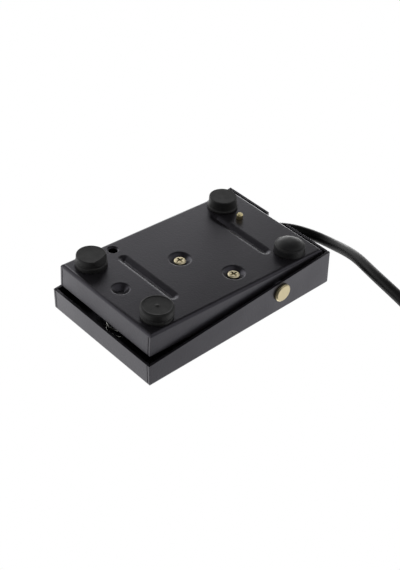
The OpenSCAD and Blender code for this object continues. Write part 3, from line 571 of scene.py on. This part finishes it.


# painted shade for recesses: a dark brown that replaces the colour where ambient occlusion is strong
recessShade = {"reach": 0.9, "colour": "#2c2619", "full": 0.35, "none": 0.8}
finishes = {
    # satin black, its reflections painted a touch cool; orange peel shows only where a highlight crosses it
    "coat": blackPowderCoat(),
    # dry black with no clear highlight; the grain of the mould breaks the little sheen that is left
    "rubber": plainMaterial(
        "matt moulded rubber", "#0f0f0f", 0.62, grain=0.6, depth=0.03, gloss=0.4, drift=0.2, patch=3.0),
    # the same black rubber polished by use: the dome carries one soft, wide highlight
    "glossyRubber": plainMaterial(
        "worn smooth rubber", "#0f0f10", 0.56, grain=0.5, depth=0.015, gloss=0.4, drift=0.2, patch=3.0),
    # pale straw-coloured metal, softer than polished, brightest where the rim is turned
    "yellowZinc": plainMaterial(
        "yellow zinc plate", "#b3a888", 0.38, 1.0, grain=0.4, depth=0.004, drift=0.08, patch=2.0),
    # the same plate, paler, with painted shade in the cross that makes it read as a dark star
    "brightZinc": plainMaterial(
        "pale yellow zinc plate", "#e4d8b6", 0.42, 1.0, grain=0.4, depth=0.004, drift=0.08, patch=2.0,
        paintedShade=recessShade),
    # cool grey metal for the pressed and turned pieces inside
    "clearZinc": plainMaterial("clear zinc plate", "#b9bcc0", 0.35, 1.0, grain=0.4, depth=0.004),
    # bright drawn wire: each turn shows as a thin silver arc
    "springWire": plainMaterial(
        "drawn spring wire", "#a3a39e", 0.22, 1.0, grain=0.2, depth=0.002, drift=0.05),
    # dull black of a filled moulding, a little greyer than the coat
    "caseBlack": plainMaterial("moulded phenolic", "#19191a", 0.5, patch=6.0),
    # red button, the one colour inside
    "plungerRed": plainMaterial("moulded acetal, red", "#a8271b", 0.35, drift=0.06),
    # bright rolled strip, streakless and smooth
    "strip": plainMaterial("rolled stainless strip", "#b5b5b8", 0.3, 1.0, drift=0.06),
    # warm yellow metal, with painted shade darkening the slot
    "brass": plainMaterial(
        "plain brass", "#beb287", 0.32, 1.0, grain=0.4, depth=0.004, patch=2.0, paintedShade=recessShade),
    # off-white, waxy
    "nylon": plainMaterial("natural nylon", "#d8d5c8", 0.5, drift=0.05),
    # black and smoother than the rubber
    "blackNylon": plainMaterial("black nylon", "#151515", 0.4),
    # deep black sheath with a broad, low sheen along its round side
    "vinyl": plainMaterial(
        "black cord vinyl", "#090909", 0.42, grain=3.0, depth=0.01, gloss=0.13, patch=9.0),
    # core colours tell the common, the open and the closed wire apart
    "coreBrown": plainMaterial("brown core insulation", "#4b2a16", 0.4, drift=0.06),
    "coreBlue": plainMaterial("blue core insulation", "#1f3f8f", 0.4, drift=0.06),
    "coreBlack": plainMaterial("black core insulation", "#141414", 0.4, drift=0.06),
    # bare strands, red-brown and bright
    "copper": plainMaterial("stranded copper", "#c4774a", 0.35, 1.0, grain=0.15, depth=0.02),
}

nodeFinish = {
    "base_tray": "coat", "pedal_tray": "coat", "hinge_pin": "yellowZinc", "retaining_clip": "springWire",
    "hinge_washers": "clearZinc", "return_spring": "springWire",
    "stop_post": "clearZinc", "striker": "clearZinc",
    "switch_case": "caseBlack", "switch_cover": "caseBlack",
    "switch_plunger": "plungerRed", "switch_lever": "strip", "lever_pin": "strip",
    "terminal_common": "brass", "terminal_open": "brass", "terminal_closed": "brass",
    "switch_screws": "brightZinc", "switch_washers": "clearZinc", "switch_nuts": "yellowZinc",
    "cord_clip": "nylon", "clip_screw": "brass", "cord_grommet": "rubber",
    "wire_common": "coreBrown", "wire_open": "coreBlue", "wire_closed": "coreBlack",
    "cord_tie": "blackNylon",
}


def dress(piece, finish):
    piece.data.materials.clear()
    piece.data.materials.append(finishes[finish])


for name, finish in nodeFinish.items():
    dress(nodes[name], finish)
for name, foot in feet.items():
    dress(foot, feetSpec[name]["finish"])
    dress(nodes[name], feetSpec[name]["finish"])
dress(spring, "springWire")
# each spline of the cord's pieces keeps its own slot
cord.data.materials.append(finishes["vinyl"])
for finish in ("coreBrown", "coreBlue", "coreBlack"):
    cordCores.data.materials.append(finishes[finish])
    coreEnds.data.materials.append(finishes["copper"])
print("materials made")


# Studio: a white world behind, large soft boxes beside the part, black flags for the reflections, and a
# floor that only shows from above
world = {"fill": 0.55, "behind": 1.0}
lamps = [
    {"name": "side box", "place": (640, 40, 60), "aim": (0, 0, 10), "size": (1450, 1100), "radiance": 1.12},
    {"name": "rim box", "place": (600, 760, 130), "aim": (0, 0, 10), "size": (500, 450), "radiance": 3.5},
    {"name": "high box", "place": (500, -260, 760), "aim": (0, 0, 10), "size": (600, 500), "radiance": 0.45},
    {"name": "rear box", "place": (-520, 760, 480), "aim": (0, 0, 10), "size": (500, 500), "radiance": 0.8},
    {"name": "top box", "place": (0, 0, 800), "aim": (0, 0, 0), "size": (800, 800), "radiance": 1.5},
]
flags = [
    {"name": "low flag", "corners": [
        (-225, -800, -360), (480, -800, -360), (460, 80, -360), (365, 250, -360), (365, 700, -360),
        (-225, 700, -360)]},
    {"name": "near flag", "corners": [
        (-230, -700, -140), (-230, 60, -140), (-230, 60, 500), (-230, -700, 500)]},
]
clothGlow = 0.06
floorHalf = 3.0


def makeLamp(spec):
    data = bpy.data.lights.new(spec["name"], "AREA")
    data.shape = "RECTANGLE"
    data.size, data.size_y = (side * mm for side in spec["size"])
    data.energy = spec["radiance"] * math.pi * data.size * data.size_y
    lamp = bpy.data.objects.new(spec["name"], data)
    lamp.location = inMetres(spec["place"])
    lamp.rotation_euler = (inMetres(spec["aim"]) - lamp.location).to_track_quat("-Z", "Y").to_euler()
    bpy.context.scene.collection.objects.link(lamp)


def makeFlag(spec, cloth):
    mesh = bpy.data.meshes.new(spec["name"])
    mesh.from_pydata([inMetres(corner) for corner in spec["corners"]], [], [range(len(spec["corners"]))])
    mesh.materials.append(cloth)
    flag = bpy.data.objects.new(spec["name"], mesh)
    bpy.context.scene.collection.objects.link(flag)
    flag.visible_camera = flag.visible_diffuse = flag.visible_shadow = flag.visible_transmission = False


def blackCloth():
    material, tree = newTree("black flag cloth")
    paint = addNode(tree, "ShaderNodeEmission", {"Color": toLinear("#ffffff"), "Strength": clothGlow})
    addNode(tree, "ShaderNodeOutputMaterial", {"Surface": paint.outputs[0]})
    return material


def makeWorld(spec):
    studio = bpy.data.worlds.new("studio")
    studio.use_nodes = True
    tree = studio.node_tree
    tree.nodes.clear()
    path = addNode(tree, "ShaderNodeLightPath")
    seen = addNode(tree, "ShaderNodeMath", {
        0: path.outputs["Is Camera Ray"], 1: path.outputs["Is Glossy Ray"]}, operation="ADD")
    seen = addNode(tree, "ShaderNodeMath", {
        0: seen.outputs[0], 1: path.outputs["Is Transmission Ray"]}, operation="ADD", use_clamp=True)
    white = toLinear("#ffffff")
    fill = addNode(tree, "ShaderNodeBackground", {"Color": white, "Strength": spec["fill"]})
    behind = addNode(tree, "ShaderNodeBackground", {"Color": white, "Strength": spec["behind"]})
    mix = addNode(tree, "ShaderNodeMixShader", {
        0: seen.outputs[0], 1: fill.outputs[0], 2: behind.outputs[0]})
    addNode(tree, "ShaderNodeOutputWorld", {"Surface": mix.outputs[0]})
    bpy.context.scene.world = studio


def makeFloor(half):
    # pale floor under the feet; from below it is clear, so that the underside can be seen
    mesh = bpy.data.meshes.new("floor")
    corners = [(-half, -half, 0), (half, -half, 0), (half, half, 0), (-half, half, 0)]
    mesh.from_pydata(corners, [], [range(len(corners))])
    floor = bpy.data.objects.new("floor", mesh)
    bpy.context.scene.collection.objects.link(floor)
    material, tree = newTree("pale floor")
    side = addNode(tree, "ShaderNodeNewGeometry").outputs["Backfacing"]
    paint = addNode(tree, "ShaderNodeBsdfDiffuse", {"Color": toLinear("#f2f2f2")})
    clear = addNode(tree, "ShaderNodeBsdfTransparent")
    mix = addNode(tree, "ShaderNodeMixShader", {0: side, 1: paint.outputs[0], 2: clear.outputs[0]})
    addNode(tree, "ShaderNodeOutputMaterial", {"Surface": mix.outputs[0]})
    mesh.materials.append(material)
    floor.visible_shadow = False
    floor.visible_diffuse = False
    floor.visible_glossy = False


makeWorld(world)
makeFloor(floorHalf)
for spec in lamps:
    makeLamp(spec)
cloth = blackCloth()
for spec in flags:
    makeFlag(spec, cloth)
bpy.context.scene.view_settings.view_transform = "Standard"
print("studio ready")
